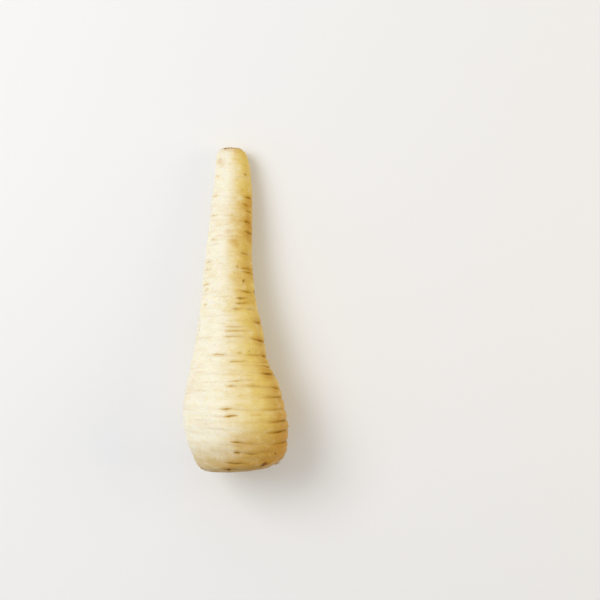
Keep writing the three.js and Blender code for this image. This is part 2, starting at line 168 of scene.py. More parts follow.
# The cut tip's face. Its rings are given as shares of its radius.
FACE_FROM, FACE_OVER, FACE_SHARE = 1.6, 1.2, 0.28
FACE_DISH, DISH_SPREAD = 0.4, 0.55
CORE_HEIGHT, CORE_AT, CORE_WIDTH = 0.15, 0.62, 0.09
ROUGH_AT, ROUGH_WIDTH = 0.85, 0.25
CLEAN_CORE = 0.7                         # no specks nearer to the middle than this

# Rings of old leaf bases, in the crown's dish and on the face round it
DISH_STEP, FACE_STEP = 0.22, 0.16
FACE_RINGS_TO, FACE_RINGS_OVER = 3.5, 3

# Crown stub, the same as the solid's
STUB_GAP, MORE_GAP = 0.3, 0.15          # the plate stands clear of the dish by both
PLATE_RADIUS, PLATE_THICK = 7.4, 1.5
STALK_RINGS = [
    {"count": 6, "radius": 6.6, "spread": 25, "thick": 2.1, "height": 2.9, "lean": 0.22},
    {"count": 4, "radius": 3.9, "spread": 36, "thick": 1.7, "height": 2.3, "lean": 0.12},
]
SOLID_STALK_POINTS = 16
BUD_RADIUS, BUD_HEIGHT = 1.9, 2.2

# How the scene draws the stub
STALK_SIDES, STALK_LEVELS, STALK_SUNK = 44, 16, 0.7
STALK_NARROWS = 0.16                     # how much narrower a stalk base is at its top
TORN_FROM, TORN, TORN_DIP = 0.4, (-0.7, 0.5), 0.7    # share of the height, ups and downs, middle
PLATE_LEVELS, PLATE_SIDES, PLATE_GRAIN = 60, 72, 0.18
CROWN_FIBRES = 110
FIBRE_TAPERS = 0.75                      # how much thinner a fibre or a hair is at its tip


# Small helpers
def bell(t):
    return np.exp(-np.square(t))


def smooth(t):
    t = np.clip(t, 0, 1)
    return t * t * (3 - 2 * t)


def lerp(low, high, t):
    return low + (high - low) * t


def wrap(angle):
    return (angle + math.pi) % (2 * math.pi) - math.pi


class Draws:
    """The seeded draws that the solid is made with, so that both place their repeats alike."""

    def __init__(self, seed):
        self.state = seed

    def __call__(self, low, high):
        self.state = (self.state * 1664525 + 1013904223) % 4294967296
        return low + (high - low) * (self.state / 4294967296)


def curve_through(points):
    """A smooth curve through points (x, y), with slopes taken from the neighbours."""
    xs, ys = (np.array(column, float) for column in zip(*points))
    before = np.maximum(np.arange(len(xs)) - 1, 0)
    after = np.minimum(np.arange(len(xs)) + 1, len(xs) - 1)
    slopes = (ys[after] - ys[before]) / (xs[after] - xs[before])

    def value(x):
        x = np.clip(np.asarray(x, float), xs[0], xs[-1])
        i = np.clip(np.searchsorted(xs, x, side="right") - 1, 0, len(xs) - 2)
        h = xs[i + 1] - xs[i]
        t = (x - xs[i]) / h
        start = (2 * t**3 - 3 * t**2 + 1) * ys[i] + (t**3 - 2 * t**2 + t) * h * slopes[i]
        end = (3 * t**2 - 2 * t**3) * ys[i + 1] + (t**3 - t**2) * h * slopes[i + 1]
        return start + end

    return value


# The outline over its own running length
outline_mm = np.array(OUTLINE) * [LENGTH, HALF_WIDTH]
running = np.concatenate([[0], np.cumsum(np.hypot(*np.diff(outline_mm, axis=0).T))])
outline_along = curve_through(list(zip(running, outline_mm[:, 0])))
outline_radius = curve_through(list(zip(running, outline_mm[:, 1])))
rim_run, end_run = running[RIM], running[-1]
stray_share = curve_through(STRAY)
skin_runs = np.linspace(rim_run, end_run, 6000)
skin_alongs, skin_radii = outline_along(skin_runs), outline_radius(skin_runs)


def stray(along):
    return stray_share(np.asarray(along) / LENGTH) * HALF_WIDTH


def skin_radius(along):
    return np.interp(along, skin_alongs, skin_radii)


# How the root lies
belly_drop = skin_radius(BELLY_AT) * FLATTEN
tail_drop = skin_radius(TAIL_AT) * FLATTEN
SLOPE = math.atan2(belly_drop - tail_drop - (BELLY_FLAT - TAIL_FLAT), TAIL_AT - BELLY_AT)
LIFT = belly_drop * math.cos(SLOPE) - BELLY_FLAT + (BELLY_AT - LENGTH / 2) * math.sin(SLOPE)


def lay(x, along, z):
    """From the root's own straight axis to where it lies, with the crown's lean."""
    x, along, z = np.broadcast_arrays(x, along, z)
    leaning = 1 - smooth(along / LEAN_REACH)
    y = along + leaning * (LEAN_SIDE * x + LEAN_DOWN * z + LEAN_SHIFT) - LENGTH / 2
    return np.stack([
        x - CENTRE_X,
        y * math.cos(SLOPE) + z * math.sin(SLOPE) - CENTRE_Y,
        z * math.cos(SLOPE) - y * math.sin(SLOPE) + LIFT,
    ], axis=-1)


def ring_at(along, turn):
    """Where a growth ring through this point meets the top of the root."""
    bow = RING_BOW * (1 - smooth((along - BOW_FROM) / (BOW_TO - BOW_FROM)))
    return along - bow * (1 - np.cos(turn))


def calm(along, turn):
    """Little where the belly and the tail rest, at the rim and at the cut."""
    under = wrap(turn - math.pi)

    def resting(middle, half_turn, half_length):
        """Near 1 over a flat that the root rests on, and 0 away from it."""
        return np.exp(-((under / half_turn) ** 4) - ((along - middle) / half_length) ** 4)

    ends = smooth(along / RIM_CALM) * smooth((LENGTH - along) / CUT_CALM)
    return (1 - resting(BELLY_AT, *BELLY_CALM)) * (1 - resting(TAIL_AT, *TAIL_CALM)) * ends


def out_of_round(along, turn):
    share = 1
    for height, bumps, first, twist in OUT_OF_ROUND:
        share = share + height * np.cos(bumps * (turn - first) + along / twist)
    return share


def right_flank(turn):
    return smooth((np.sin(turn) - FLANK_FROM) / FLANK_OVER)


def bulge(ring, turn):
    """How far the skin bulges between two creases, and how near a crease is, from 0 to 1."""
    after = np.clip(np.searchsorted(CREASES, ring, side="right"), 1, len(CREASES) - 1)
    gap = CREASES[after] - CREASES[after - 1]
    arch = np.sin(math.pi * np.clip((ring - CREASES[after - 1]) / gap, 0, 1)) ** BULGE_POWER
    neck = smooth((ring - BULB_TO) / (NECK_FROM - BULB_TO))
    height = lerp(BULGE_ON_BULB, BULGE_ON_NECK, neck) * np.minimum(1, gap / FULL_GAP)
    height = height * lerp(BULGE_ELSEWHERE, 1, right_flank(turn))
    nearest = np.minimum(ring - CREASES[after - 1], CREASES[after] - ring)
    return height * (arch - BULGE_SUNK), bell(nearest / CREASE_SHADE) * height / BULGE_ON_BULB


draw = Draws(SEED)
fine_draw = Draws(SEED + 1)
scars = [(at, math.radians(turn), math.radians(half), depth, slant, dark, darkest)
         for at, turn, half, depth, slant, dark, darkest in SCARS]
for _ in range(HIDDEN_SCARS):
    at = draw(4, LENGTH - 10)
    turn = math.radians(draw(*HIDDEN_TURNS))
    half = math.radians(draw(*HIDDEN_HALVES))
    depth = draw(*HIDDEN_DEPTHS)
    slant = draw(*HIDDEN_SLANTS)
    dark = 0.2 + 0.8 * depth
    scars.append((at, turn, half, depth, slant, dark, fine_draw(-0.6, 0.6)))


# The skin's relief and masks, over a grid of places along and turns
class Skin:
    """Adds up the lift of the skin in mm, and masks from 0 to 1 for its material."""

    # line holds the painted shade in the creases and the fine wrinkles' lines
    MASKS = ("scar", "painted_scar_shade", "line", "speck", "stain", "tan", "painted_edge_shade")

    def __init__(self, run, along, turn):
        self.run = run
        self.along = along
        self.turn = turn
        self.ring = ring_at(along, turn)
        self.lift, crease = bulge(self.ring, turn)
        self.masks = {name: np.zeros_like(along) for name in self.MASKS}
        # Painted shade in the creases, more on the right where the bulges are higher
        self.mark("line", crease)
        # Tan at the crown: real browning with painted shade, reaching further and darker on the right
        right = smooth((np.sin(turn) + 0.7) / 1.7)
        reach = lerp(*TAN_REACH, right)
        self.mark("tan", smooth((reach - along) / (reach - TAN_FULL_TO)) * lerp(*TAN_STRENGTH, right))
        # Real browning at the cut
        self.mark("tan", CUT_TAN * smooth((along - LENGTH + CUT_TAN_REACH) / CUT_TAN_OVER))
        # Painted warm shade along the right edge of the bulb
        edge = smooth((np.sin(turn) - AMBER_FROM) / 0.45)
        self.mark("painted_edge_shade", edge * lerp(*AMBER_STRENGTH, bell((along - AMBER_AT) / AMBER_SPREAD)))

    def mark(self, name, values):
        self.masks[name] = np.maximum(self.masks[name], values)

    def slit(self, at, middle, half, slant, wander):
        """Place across a slit from -1 to 1, how far off its line, and how near its middle."""
        across = wrap(self.turn - middle) / half
        phase = 7 * at
        waves = np.sin(5 * across + phase) + 0.6 * np.sin(13 * across + 2 * phase)
        off = self.ring - at - slant * across - wander * waves
        return across, off, np.clip(1 - across * across, 0, None)

    def away(self, at, middle, stretch=1.0):
        """How far each point is from a place on the skin, with turns shortened by stretch."""
        middle = math.radians(middle)
        there = np.interp(2 * at - ring_at(at, middle), skin_alongs, skin_runs)
        sideways = wrap(self.turn - middle) * outline_radius(self.run)
        return np.hypot(self.run - there, sideways * stretch)

    def scar(self, at, middle, half, depth, slant, dark, darkest):
        across, off, near = self.slit(at, middle, half, slant, SLIT_WANDER)
        blot = bell((across - darkest) / BLOT_REACH) * (0.85 + 0.25 * np.sin(9 * across + 3 * at))
        cut = bell(off / lerp(SLIT_WIDTH, SLIT_WIDTH + SLIT_OPENS * depth, blot))
        lips = LIP_HEIGHT * bell((np.abs(off) - LIP_AT) / LIP_WIDTH)
        self.lift += depth * near * (lips - lerp(CUT_SHALLOW, CUT_DEEP, blot) * cut)
        shade = lerp(AWAY_FROM_BLOT, 1, blot)
        self.mark("scar", dark * near**0.4 * shade * cut)
        # Painted shade round the scar's groove
        self.mark("painted_scar_shade", dark * near * shade * bell(off / (1 + 0.9 * depth)))

    def wrinkle(self):
        at = fine_draw(3, LENGTH - 5)
        middle = math.radians(fine_draw(-180, 180))
        half = math.radians(fine_draw(8, 42))
        depth = fine_draw(0.02, 0.1)
        slant = fine_draw(-0.7, 0.7)
        width = fine_draw(0.35, 0.5)
        _, off, near = self.slit(at, middle, half, slant, 0.1)
        self.lift -= depth * near * bell(off / width)
        self.mark("line", (0.15 + 4 * depth) * near * bell(off / width))

    def speck(self, at, middle, radius, strength):
        spot = strength * bell(self.away(at, middle) / radius)
        self.mark("speck", spot)
        self.lift -= SPECK_PIT * spot

    def stain(self, at, middle, radius, strength):
        self.mark("stain", strength * bell(self.away(at, middle, STAIN_STRETCH) / radius))

    def knot(self):
        off = self.away(KNOT_AT, KNOT_TURN)
        self.lift += KNOT_HEIGHT * (bell((off - KNOT_RADIUS) / 0.6) - bell(off / 0.7))
        self.mark("scar", 0.2 * bell((off - KNOT_RADIUS) / 0.4))

    def waves(self):
        """The soft unevenness of the whole skin, in short and in long waves."""
        short = np.sin(self.ring * 1.9 + 2.1 * np.sin(self.turn)) * np.sin(2 * self.turn + self.ring / 9)
        long = np.sin(self.ring * 0.55 + 2 * np.sin(self.turn + 1)) * np.cos(3 * self.turn)
        return 0.07 * short + 0.1 * long

    def finish(self):
        """Draws every mark and returns the lift."""
        for scar in scars:
            self.scar(*scar)
        for _ in range(FINE_WRINKLES):
            self.wrinkle()
        for speck in SPECKS:
            self.speck(*speck)
        for stain in STAINS:
            self.stain(*stain)
        self.knot()
        return (self.lift + self.waves()) * calm(self.along, self.turn)


# Meshes from rings of points, with a pole at each end
def loft(name, rings, first, last, masks=None):
    """rings is an array (ring, point, xyz) in mm. masks maps a name to one value a vertex."""
    count, sides = rings.shape[:2]
    points = np.concatenate([[first], rings.reshape(-1, 3), [last]]) * MM
    index = 1 + np.arange(count * sides).reshape(count, sides)
    after = np.roll(index, -1, axis=1)
    quads = np.stack([index[:-1], after[:-1], after[1:], index[1:]], axis=-1).reshape(-1, 4)
    start = np.stack([np.zeros(sides, int), after[0], index[0]], axis=-1)
    end = np.stack([np.full(sides, len(points) - 1), index[-1], after[-1]], axis=-1)
    mesh = bpy.data.meshes.new(name)
    mesh.from_pydata(points.tolist(), [], quads.tolist() + start.tolist() + end.tolist())
    mesh.polygons.foreach_set("use_smooth", [True] * len(mesh.polygons))
    for key, values in (masks or {}).items():
        values = np.asarray(values, np.float32)
        kind, field = ("FLOAT_VECTOR", "vector") if values.ndim == 2 else ("FLOAT", "value")
        mesh.attributes.new(key, kind, "POINT").data.foreach_set(field, values.ravel())
    mesh.update()
    obj = bpy.data.objects.new(name, mesh)
    bpy.context.scene.collection.objects.link(obj)
    return obj


def with_poles(grid, first, last):
    """One value a vertex, from the grid's values and the two poles'."""
    flat = grid.reshape(-1, *grid.shape[2:])
    return np.concatenate([[first], flat, [last]])


def tip_face(along, radius, turn, outside):
    """The cut tip: a slightly dished face with a core ring and a rough rim."""
    face = smooth((along - (LENGTH - FACE_FROM)) / FACE_OVER) * outside
    core = radius / (FACE_SHARE * HALF_WIDTH)
    core_ring = CORE_HEIGHT * bell((core - CORE_AT) / CORE_WIDTH)
    along = along - face * (FACE_DISH * bell(core / DISH_SPREAD) - core_ring)
    rough = 0.22 * np.sin(turn * 7 + 2 * np.sin(3 * turn)) + 0.15 * np.sin(turn * 17)
    return along + face * rough * bell((core - ROUGH_AT) / ROUGH_WIDTH), face, core


def crown_face(along, radius, turn, outside):
    """Rings of old leaf bases in the dish, and fainter ones on the face round it."""
    dish = (~outside) * 1.0
    ripple = radius * 3.4 + 0.9 * np.sin(5 * turn) + 0.5 * np.sin(11 * turn + radius)
    steps = DISH_STEP * np.sin(ripple) * smooth(radius / 3)
    along = along + dish * steps * smooth((skin_radius(0) - radius) / 2)
    ripple = radius * 2.3 + 1.2 * np.sin(3 * turn + 1) + 0.5 * np.sin(8 * turn)
    on_face = outside * smooth((FACE_RINGS_TO - along) / FACE_RINGS_OVER)
    along = along + on_face * FACE_STEP * np.sin(ripple) * (1 + 0.5 * np.sin(4 * turn + radius))
    leaf_rings = smooth(0.5 - 0.8 * np.sin(ripple)) * on_face
    return along, np.maximum(dish, 0.35 * on_face + 0.55 * leaf_rings)


# The root's skin
def make_root():
    runs = end_run * np.arange(1, RINGS) / RINGS
    even = 2 * math.pi * np.arange(SEGMENTS) / SEGMENTS
    run, turn = np.meshgrid(runs, even - CROWDING * np.sin(even), indexing="ij")
    along, radius = outline_along(run), outline_radius(run)
    outside = run > rim_run
    skin = Skin(run, along, turn)
    reach = radius * out_of_round(along, turn) + np.where(outside, skin.finish(), 0)
    middle = np.where(outside, stray(along), stray(0))
    along, face, core = tip_face(along, radius, turn, outside)
    along, crown = crown_face(along, radius, turn, outside)
    points = lay(middle + reach * np.sin(turn), along, reach * np.cos(turn) * FLATTEN)
    points[..., 2] = np.maximum(points[..., 2], 0)
    skin.masks["speck"] *= 1 - face * (core < CLEAN_CORE)
    grain = np.stack([reach * np.sin(turn), skin.ring, reach * np.cos(turn)], axis=-1)
    axis_end, axis_start = float(outline_along(end_run)), float(outline_along(0))
    masks = {name: with_poles(values * outside, 0, 0) for name, values in skin.masks.items()}
    masks["crown"] = with_poles(crown, 1, 0)
    masks["cut"] = with_poles(face, 0, 1)
    masks["core"] = with_poles(core, 0, 0)
    # Painted light and shade: paler on the lit left side, more golden on the shaded right
    masks["painted_side_light"] = with_poles(smooth((np.sin(turn) + 0.35) / 1.15), 0.3, 0.3)
    masks["grain"] = with_poles(grain, [0, axis_start, 0], [0, axis_end, 0])
    first, last = lay(stray(0), axis_start, 0), lay(stray(axis_end), axis_end, 0)
    obj = loft("parsnip_skin", points, first, last, masks)
    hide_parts("parsnip_root")
    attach(obj, "root")
    return obj


# Colours, as they look on a screen
def colour(red, green, blue):
    def linear(value):
        share = value / 255
        return share / 12.92 if share <= 0.04045 else ((share + 0.055) / 1.055) ** 2.4
    return (linear(red), linear(green), linear(blue), 1)


class Nodes:
    """A short way to write a material's nodes."""

    def __init__(self, name):
        self.material = bpy.data.materials.new(name)
        self.material.use_nodes = True
        self.tree = self.material.node_tree
        self.shader = self.tree.nodes["Principled BSDF"]

    def node(self, kind, settings=None, **inputs):
        made = self.tree.nodes.new(kind)
        for key, value in (settings or {}).items():
            setattr(made, key, value)
        for key, value in inputs.items():
            self.put(made.inputs[key.replace("_", " ")], value)
        return made

    def put(self, socket, value):
        if isinstance(value, bpy.types.NodeSocket):
            self.tree.links.new(value, socket)
        else:
            socket.default_value = value

    def surface(self, **inputs):
        for key, value in inputs.items():
            self.put(self.shader.inputs[key.replace("_", " ")], value)

    def mask(self, name):
        return self.node("ShaderNodeAttribute", {"attribute_name": name}).outputs["Fac"]

    def vector(self, name, scale):
        source = self.node("ShaderNodeAttribute", {"attribute_name": name}).outputs["Vector"]
        made = self.node("ShaderNodeVectorMath", {"operation": "MULTIPLY"})
        self.put(made.inputs[0], source)
        self.put(made.inputs[1], scale)
        return made.outputs["Vector"]

    def noise(self, vector, detail=3.0, roughness=0.55):
        made = self.node("ShaderNodeTexNoise", None, Vector=vector, Scale=1.0, Detail=detail,
                         Roughness=roughness)
        return made.outputs["Fac"]

    def ramp(self, value, low, high, to_low=0.0, to_high=1.0):
        """A soft step from to_low to to_high while the value goes from low to high."""
        made = self.node("ShaderNodeMapRange", {"interpolation_type": "SMOOTHSTEP"})
        for socket, setting in zip(made.inputs, (value, low, high, to_low, to_high)):
            self.put(socket, setting)
        return made.outputs["Result"]

    def maths(self, operation, first, second):
        made = self.node("ShaderNodeMath", {"operation": operation, "use_clamp": True})
        self.put(made.inputs[0], first)
        self.put(made.inputs[1], second)
        return made.outputs["Value"]

    def times(self, first, second):
        return self.maths("MULTIPLY", first, second)

    def mix(self, factor, first, second):
        made = self.node("ShaderNodeMix", {"data_type": "RGBA"})
        sockets = [socket for socket in made.inputs if socket.enabled]
        for socket, value in zip(sockets, (factor, first, second)):
            self.put(socket, value)
        return next(socket for socket in made.outputs if socket.enabled)

    def bump(self, height, distance, strength=1.0, normal=None):
        made = self.node("ShaderNodeBump", None, Height=height, Distance=distance, Strength=strength)
        if normal is not None:
            self.put(made.inputs["Normal"], normal)
        return made.outputs["Normal"]


# pale and golden paint the lit left side and the shaded right side. The halos, the crease and the edge
# colour are painted shade, and the tans are browning with painted shade.
SKIN_COLOURS = {
    "pale": (246, 240, 220), "golden": (234, 202, 88), "cloud": (228, 200, 108),
    "fleck": (249, 242, 216), "painted_edge_shade": (206, 148, 18), "left tan": (188, 152, 60),
    "right tan": (178, 124, 10), "streak": (220, 192, 112), "fine streak": (250, 244, 222),
    "pore": (224, 200, 118), "pale pore": (250, 246, 226), "stain": (198, 140, 18),
    "pale halo": (216, 180, 92), "golden halo": (196, 148, 34), "tan halo": (164, 126, 44),
    "crease": (204, 160, 64), "scar": (198, 154, 40), "tan scar": (140, 104, 30),
    "deep scar": (146, 96, 6), "speck": (112, 66, 10), "freckle": (160, 124, 62),
    "leaf base": (150, 116, 58), "core": (236, 218, 160), "flesh": (246, 236, 204),
    "cut rim": (140, 104, 54),
}
SKIN = {name: colour(*on_screen) for name, on_screen in SKIN_COLOURS.items()}

# Noises in the skin: waves a mm across, along and up, and detail
SKIN_NOISES = {
    "patches": ((0.06, 0.06, 0.06), 3.0), "mottle": ((0.16, 0.28, 0.16), 4.0),
    "streaks": ((0.1, 1.2, 0.1), 4.0), "fine": ((0.5, 4.0, 0.5), 3.0),
    "grit": ((2.6, 2.6, 2.6), 2.0), "pores": ((0.9, 1.3, 0.9), 3.0),
}
FRECKLE_SCALE = (0.28, 0.28, 0.28)


def skin_ground(n, noise):
    """Waxy skin with painted light and shade: pale on the lit left, golden on the shaded right, painted
    warm shade at the edge, and tan with painted shade at the crown.
    """
    mottle, pores, side = noise["mottle"], noise["pores"], n.mask("painted_side_light")
    # Painted light and shade: pale where the left side is lit, golden on the shaded right
    base = n.mix(n.times(side, n.ramp(noise["patches"], 0.2, 0.7, 0.8, 1.0)), SKIN["pale"], SKIN["golden"])
    # Mottled clouds, stronger on the right with the painted shade
    clouds = n.times(n.ramp(mottle, 0.42, 0.7, 0, 0.55), n.ramp(side, 0, 0.5, 0.35, 1.0))
    base = n.mix(clouds, base, SKIN["cloud"])
    base = n.mix(n.ramp(mottle, 0.28, 0.45, 0.35, 0), base, SKIN["fleck"])
    # Painted warm shade along the right edge, broken by the mottle
    painted_edge_shade = n.times(n.mask("painted_edge_shade"), n.ramp(mottle, 0.3, 0.6, 0.6, 0.95))
    base = n.mix(painted_edge_shade, base, SKIN["painted_edge_shade"])
    # Tan at the crown with painted shade, darker on the right
    tan = n.times(n.mask("tan"), n.ramp(mottle, 0.25, 0.65, 0.7, 1.0))
    base = n.mix(tan, base, n.mix(n.ramp(side, 0.45, 1.0), SKIN["left tan"], SKIN["right tan"]))
    base = n.mix(n.ramp(noise["streaks"], 0.55, 0.78, 0, 0.25), base, SKIN["streak"])
    base = n.mix(n.ramp(noise["fine"], 0.25, 0.45, 0.12, 0), base, SKIN["fine streak"])
    base = n.mix(n.ramp(pores, 0.5, 0.72, 0, 0.35), base, SKIN["pore"])
    return n.mix(n.ramp(pores, 0.3, 0.45, 0.22, 0), base, SKIN["pale pore"])


def skin_marks(n, noise, base):
    """Stains, painted shade round the scars and in the creases, then the scars with their dark cores, the
    specks and the freckles.
    """
    mottle, side, tan = noise["mottle"], n.mask("painted_side_light"), n.mask("tan")
    stain = n.times(n.mask("stain"), n.ramp(mottle, 0.25, 0.65, 0.45, 1.0))
    base = n.mix(n.times(stain, 0.9), base, SKIN["stain"])
    # Painted shade round the scars, paler on the lit left, darker on the right and at the crown
    painted_scar_shade = n.mix(tan, n.mix(side, SKIN["pale halo"], SKIN["golden halo"]), SKIN["tan halo"])
    base = n.mix(n.times(n.mask("painted_scar_shade"), 0.55), base, painted_scar_shade)
    # Painted shade in the creases, and the fine wrinkles' lines
    base = n.mix(n.times(n.mask("line"), 0.45), base, SKIN["crease"])
    broken = n.times(n.mask("scar"), n.ramp(noise["grit"], 0.3, 0.6, 0.8, 1.1))
    base = n.mix(n.ramp(broken, 0.04, 0.75, 0, 0.9), base, n.mix(tan, SKIN["scar"], SKIN["tan scar"]))
    # Dark scar cores, made stronger on the right as painted shade
    deep = n.times(n.ramp(broken, 0.45, 1.0, 0, 0.9), n.ramp(side, 0.3, 0.9, 0.3, 1.0))
    base = n.mix(deep, base, SKIN["deep scar"])
    spotted = n.times(n.mask("speck"), n.ramp(noise["grit"], 0.3, 0.6, 0.75, 1.1))
    base = n.mix(n.ramp(spotted, 0.12, 0.8, 0, 0.95), base, SKIN["speck"])
    cells = n.node("ShaderNodeTexVoronoi", None, Vector=n.vector("grain", FRECKLE_SCALE), Scale=1.0)
    freckle = n.times(n.ramp(cells.outputs["Distance"], 0.05, 0.11, 0.4, 0), n.ramp(mottle, 0.5, 0.56))
    return n.mix(freckle, base, SKIN["freckle"]), broken, spotted


def skin_ends(n, noise, base, spotted):
    """The crown's old leaf bases, and the flesh and the torn rim of the cut tip."""
    crown = n.times(n.mask("crown"), n.ramp(noise["mottle"], 0.3, 0.6, 0.65, 1.0))
    crown = n.times(crown, n.ramp(spotted, 0.1, 0.5, 0.85, 0))
    base = n.mix(crown, base, SKIN["leaf base"])
    flesh = n.mix(n.ramp(n.mask("core"), 0.55, 0.68), SKIN["core"], SKIN["flesh"])
    rim = n.times(n.ramp(n.mask("core"), 0.6, 0.8), n.ramp(noise["grit"], 0.42, 0.6))
    return n.mix(n.mask("cut"), base, n.mix(rim, flesh, SKIN["cut rim"]))


def skin_material():
    n = Nodes("root_skin")
    noise = {name: n.noise(n.vector("grain", scale), detail)
             for name, (scale, detail) in SKIN_NOISES.items()}
    base, broken, spotted = skin_marks(n, noise, skin_ground(n, noise))
    marks = n.maths("MAXIMUM", broken, spotted)
    sheen = n.ramp(noise["streaks"], 0.3, 0.75, 0.42, 0.55)
    n.surface(
        Base_Color=skin_ends(n, noise, base, spotted),
        Roughness=n.maths("ADD", sheen, n.times(marks, 0.3)),
        Coat_Weight=n.ramp(marks, 0.1, 0.5, 0.1, 0),
        Normal=n.bump(noise["fine"], 0.0001, 0.5, n.bump(noise["streaks"], 0.0003, 0.3)),
        Coat_Roughness=0.38,
        Specular_IOR_Level=0.16,
        Subsurface_Weight=0.35,
        Subsurface_Radius=(1.0, 0.85, 0.4),
        Subsurface_Scale=0.0025,
    )
    return n.material


def cork_material():
    n = Nodes("leaf_stalk")
    fibres = n.noise(n.vector("grain", (2.2, 0.25, 2.2)), 5.0, 0.6)
    patches = n.noise(n.vector("grain", (0.3, 0.3, 0.3)))
    base = n.mix(n.ramp(fibres, 0.3, 0.7), colour(82, 58, 32), colour(150, 114, 68))
    base = n.mix(n.ramp(patches, 0.45, 0.7, 0, 0.7), base, colour(118, 100, 56))
    frayed = n.times(n.mask("tip"), n.ramp(fibres, 0.35, 0.65, 0.2, 0.85))
    base = n.mix(frayed, base, colour(186, 152, 98))
    rough = n.bump(fibres, 0.0004, 0.8)
    n.surface(Base_Color=base, Roughness=0.85, Specular_IOR_Level=0.25, Normal=rough)
    return n.material


def hair_material():
    n = Nodes("root_hair")
    n.surface(Base_Color=colour(204, 170, 108), Roughness=0.6)
    return n.material


# Tapered tubes along short bent lines, for torn fibres and fine root hairs
def fibre(name, points, radius, sides=5, masks=None):
    """masks, where given, makes the masks from the tube's rings and the line's points."""
    points = np.asarray(points, float)
    tangent = np.gradient(points, axis=0)
    tangent /= np.linalg.norm(tangent, axis=1, keepdims=True)
    helper = np.array([0.31, 0.52, 0.79])
    across = np.cross(tangent, helper)
    across /= np.linalg.norm(across, axis=1, keepdims=True)
    other = np.cross(tangent, across)
    turn = 2 * math.pi * np.arange(sides) / sides
    taper = radius * (1 - FIBRE_TAPERS * np.linspace(0, 1, len(points)))[:, None, None]
    ring = np.cos(turn)[None, :, None] * across[:, None] + np.sin(turn)[None, :, None] * other[:, None]
    rings = (points[:, None] + taper * ring)[:, ::-1]
    values = masks(rings, points) if masks else None
    return loft(name, rings, points[0], points[-1], values)


# The crown stub: the solid's plate, bud and stalk bases, with fibres and torn tops
def stalk_base(floor, middle, radius, spread, thick, height, lean, tilt, seed):
    """A crescent that stands on the plate: its outer wall, then its inner wall, with a torn top."""
    j, half_way = np.arange(STALK_SIDES), STALK_SIDES // 2
    inner = j >= half_way
    share = 1 - 2 * (j % half_way + 0.5) / half_way
    share = np.where(inner, -share, share)
    torn = Draws(seed)
    ragged = np.array([torn(*TORN) for _ in range(STALK_SIDES)])
    ragged = 0.5 * ragged + 0.25 * (np.roll(ragged, 1) + np.roll(ragged, -1))
    rings, heights = [], []
    for level in range(STALK_LEVELS):
        climb = level / (STALK_LEVELS - 1)
        rise = -STALK_SUNK + (height + STALK_SUNK) * climb
        narrow = 1 - STALK_NARROWS * (rise / height)
        away = share * spread * narrow
        # Its fibres show as ridges that run up it
        ridges = 1 + 0.14 * np.sin(share * 17 + 2 * seed) + 0.08 * np.sin(share * 43 + rise)
        half = 0.5 * thick * narrow * np.sqrt(1 - 0.9 * share**2) * ridges
        reach = radius + max(rise, 0) * lean + np.where(inner, -half, half)
        top = smooth((climb - TORN_FROM) / 0.6)
        cut = top * (tilt * away / spread + ragged)
        rings.append(lay(stray(0) + reach * np.sin(middle + away), floor - rise - cut,
                         reach * np.cos(middle + away)))
        heights.append(np.full(STALK_SIDES, max(rise, 0) / height))
    out = radius + height * lean
    foot = lay(stray(0) + radius * math.sin(middle), floor + STALK_SUNK, radius * math.cos(middle))
    tip = lay(stray(0) + out * math.sin(middle), floor - height + TORN_DIP, out * math.cos(middle))
    return np.array(rings), foot, tip, np.array(heights)


def crown_plate(bottom):
    """The plate and the bud on it, turned from one profile of radius and place along."""
    top = bottom - PLATE_THICK
    profile = [
        (0.05, bottom), (0.5 * PLATE_RADIUS, bottom), (0.82 * PLATE_RADIUS, bottom),
        (0.95 * PLATE_RADIUS, bottom - 0.25 * PLATE_THICK), (PLATE_RADIUS, bottom - 0.5 * PLATE_THICK),
        (0.93 * PLATE_RADIUS, top + 0.1), (0.8 * PLATE_RADIUS, top), (0.5 * PLATE_RADIUS, top),
        (BUD_RADIUS, top), (0.95 * BUD_RADIUS, top - 0.3 * BUD_HEIGHT),
        (0.8 * BUD_RADIUS, top - 0.6 * BUD_HEIGHT), (0.35 * BUD_RADIUS, top - BUD_HEIGHT),
    ]
    knots = np.arange(len(profile), dtype=float)
    fine = np.linspace(0, knots[-1], PLATE_LEVELS)
    radius = np.interp(fine, knots, [p[0] for p in profile])
    along = np.interp(fine, knots, [p[1] for p in profile])
    turn = 2 * math.pi * np.arange(PLATE_SIDES) / PLATE_SIDES
    radius, turn = np.meshgrid(radius, turn, indexing="ij")
    on_top = (fine > 6)[:, None]         # past the profile's point at the edge of the plate's top
    grain = PLATE_GRAIN * np.sin(radius * 6 + np.sin(turn * 4)) * np.sin(turn * 9 + radius)
    along = along[:, None] + on_top * grain
    reach = radius * (1 + 0.02 * np.sin(turn * 11))
    rings = lay(stray(0) + reach * np.sin(turn), along, reach * np.cos(turn))[::-1]
    first = lay(stray(0), profile[-1][1] - 0.25, 0)
    return rings, first, lay(stray(0), bottom, 0), np.zeros(rings.shape[:2])


def fibre_masks(rings, points):
    """A torn fibre is brown at its foot and pale at its tip."""
    pale = np.repeat(np.linspace(0, 0.9, len(rings)), rings.shape[1])
    return {"tip": with_poles(pale, 0, 0.9), "grain": with_poles(rings, points[0], points[-1])}


